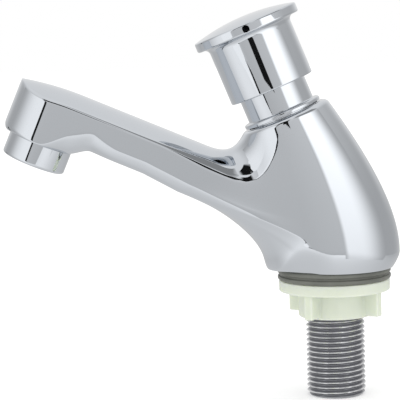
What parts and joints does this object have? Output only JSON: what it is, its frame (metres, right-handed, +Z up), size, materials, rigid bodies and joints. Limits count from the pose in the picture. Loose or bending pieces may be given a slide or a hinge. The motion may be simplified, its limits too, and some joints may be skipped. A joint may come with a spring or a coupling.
{
  "type": "push timed tap",
  "caption": "Self-closing basin tap: leaning push button on a flared cast body, rising spout with aerator, threaded inlet shank, rubber base gasket and winged back nut.",
  "frame": {"origin": "centre of the tap hole on the deck plane, under the base gasket, on the shank axis", "axes": "+Z up along the shank axis away from the deck, -Y towards the spout, X across, the tap symmetric about X = 0"},
  "size_m": [0.0456, 0.1404, 0.1406],
  "materials": {
    "chrome_plate": "mirror chrome plate on cast brass",
    "shank_metal": "machined thread, dull nickel",
    "steel": "stainless, drawn",
    "black_steel": "blackened, oiled",
    "brass": "turned",
    "gasket_rubber": "moulded, satin",
    "seal_rubber": "moulded, matt",
    "nut_plastic": "moulded, slightly translucent",
    "white_plastic": "moulded acetal"
  },
  "bodies": {
    "tap": {"tap_body": "chrome_plate", "base_gasket": "gasket_rubber", "inlet_shank": "shank_metal", "shank_washer": "seal_rubber", "inlet_strainer": "steel", "bonnet": "chrome_plate", "bonnet_oring": "seal_rubber", "spindle_oring": "seal_rubber", "return_spring": "steel", "cartridge_barrel": "white_plastic", "barrel_orings": "seal_rubber", "stem_seal": "seal_rubber", "aerator_housing": "chrome_plate", "aerator_insert": "white_plastic", "aerator_screen": "steel", "aerator_washer": "seal_rubber"},
    "button": {"push_button": "chrome_plate", "button_set_screw": "black_steel", "spindle": "brass", "piston": "white_plastic", "piston_lip_seal": "seal_rubber", "timing_jet": "brass", "piston_clip": "steel", "valve_washer": "seal_rubber", "valve_head": "brass"},
    "nut": {"back_nut": "nut_plastic"}
  },
  "joints": [
    {"name": "button_push", "type": "slide", "parent": "tap", "child": "button", "axis": [0, 0.3681, -0.9298], "range_m": [0, 0.006], "stiffness_N_per_m": 700, "springref_m": -0.012, "deforming": ["return_spring"]},
    {"name": "back_nut_travel", "type": "slide", "parent": "tap", "child": "nut", "axis": [0, 0, -1], "range_m": [0, 0.026]}
  ]
}
